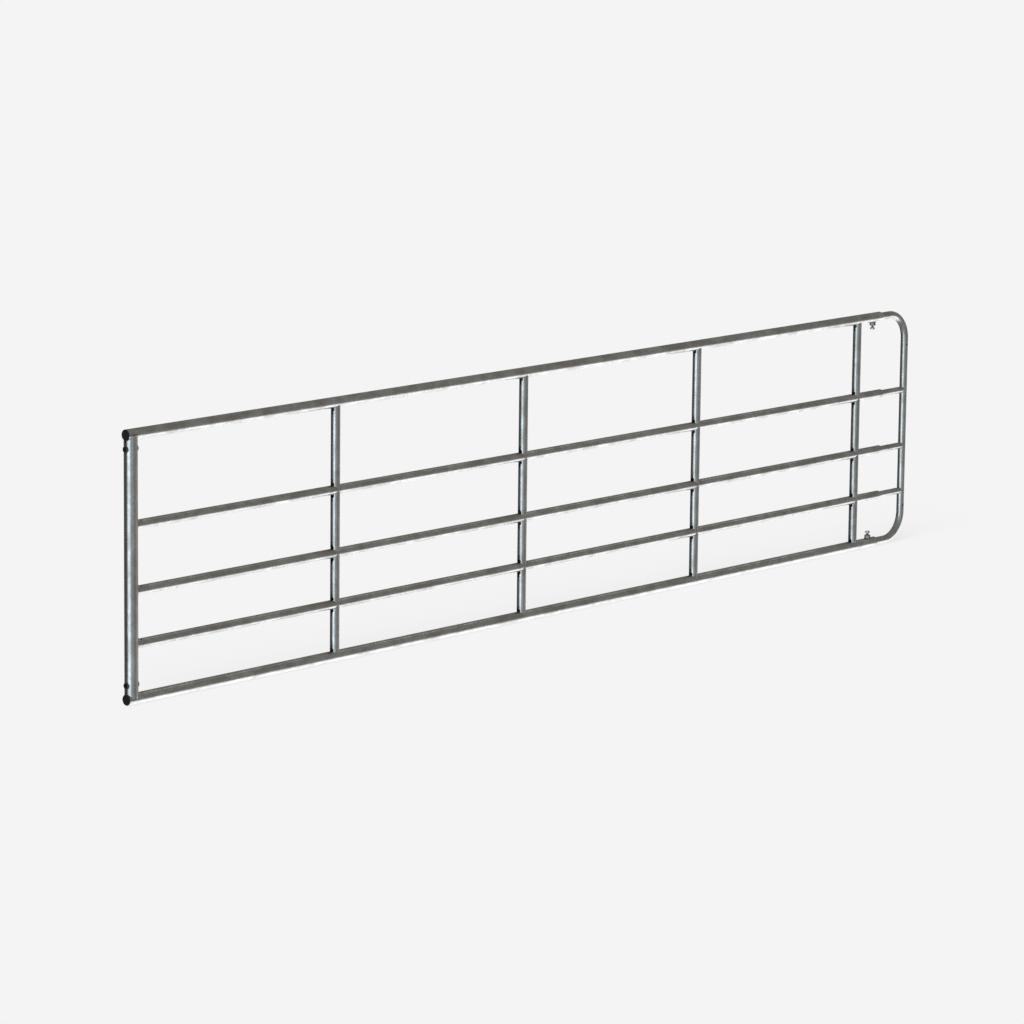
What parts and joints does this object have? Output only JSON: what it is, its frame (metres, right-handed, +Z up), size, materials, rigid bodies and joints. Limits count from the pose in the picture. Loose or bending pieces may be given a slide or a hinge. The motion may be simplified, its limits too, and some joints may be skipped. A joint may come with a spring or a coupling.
{
  "type": "telescopic livestock gate",
  "caption": "Galvanised tubular field gate with round rails and stiles; a U-shaped end frame slides out of the rails and is clamped by lock screws.",
  "frame": {"origin": "centre of the lower hinge bush, on the hinge post's axis", "axes": "+X along the gate from the hinge post to the latch end, +Y away from the front face, +Z up"},
  "size_m": [4.989, 0.0548, 1.1],
  "materials": {
    "galvanised_tube": "hot-dip galvanised steel, dull grey with a faint spangle",
    "galvanised_fitting": "hot-dip galvanised steel, darker and rougher",
    "plated_screw": "bright zinc-plated steel",
    "black_plug": "black moulded plastic, slightly glossy",
    "nylon_guide": "natural nylon, matt"
  },
  "bodies": {
    "gate_frame": {"hinge_post": "galvanised_tube", "upper_hinge_bush": "galvanised_fitting", "lower_hinge_bush": "galvanised_fitting", "bottom_rail": "galvanised_tube", "lower_rail": "galvanised_tube", "centre_rail": "galvanised_tube", "upper_rail": "galvanised_tube", "top_rail": "galvanised_tube", "stile_1_bottom": "galvanised_tube", "stile_1_lower": "galvanised_tube", "stile_1_upper": "galvanised_tube", "stile_1_top": "galvanised_tube", "stile_2_bottom": "galvanised_tube", "stile_2_lower": "galvanised_tube", "stile_2_upper": "galvanised_tube", "stile_2_top": "galvanised_tube", "stile_3_bottom": "galvanised_tube", "stile_3_lower": "galvanised_tube", "stile_3_upper": "galvanised_tube", "stile_3_top": "galvanised_tube", "stile_4_bottom": "galvanised_tube", "stile_4_lower": "galvanised_tube", "stile_4_upper": "galvanised_tube", "stile_4_top": "galvanised_tube", "bottom_mouth_guide": "nylon_guide", "lower_mouth_guide": "nylon_guide", "centre_mouth_guide": "nylon_guide", "upper_mouth_guide": "nylon_guide", "top_mouth_guide": "nylon_guide", "top_end_plug": "black_plug", "bottom_end_plug": "black_plug", "upper_lock_nut": "galvanised_fitting", "lower_lock_nut": "galvanised_fitting"},
    "sliding_end": {"end_frame": "galvanised_tube", "lower_cross_tube": "galvanised_tube", "centre_cross_tube": "galvanised_tube", "upper_cross_tube": "galvanised_tube", "bottom_glide_sleeve": "nylon_guide", "lower_glide_sleeve": "nylon_guide", "centre_glide_sleeve": "nylon_guide", "upper_glide_sleeve": "nylon_guide", "top_glide_sleeve": "nylon_guide"},
    "upper_screw": {"upper_lock_screw": "plated_screw"},
    "lower_screw": {"lower_lock_screw": "plated_screw"}
  },
  "joints": [
    {"name": "end_frame_slide", "type": "slide", "parent": "gate_frame", "child": "sliding_end", "axis": [1, 0, 0], "range_m": [-0.06, 1]},
    {"name": "upper_lock_screw_travel", "type": "slide", "parent": "gate_frame", "child": "upper_screw", "axis": [0, 0, -1], "range_m": [0, 0.008]},
    {"name": "lower_lock_screw_travel", "type": "slide", "parent": "gate_frame", "child": "lower_screw", "axis": [0, 0, 1], "range_m": [0, 0.008]}
  ]
}
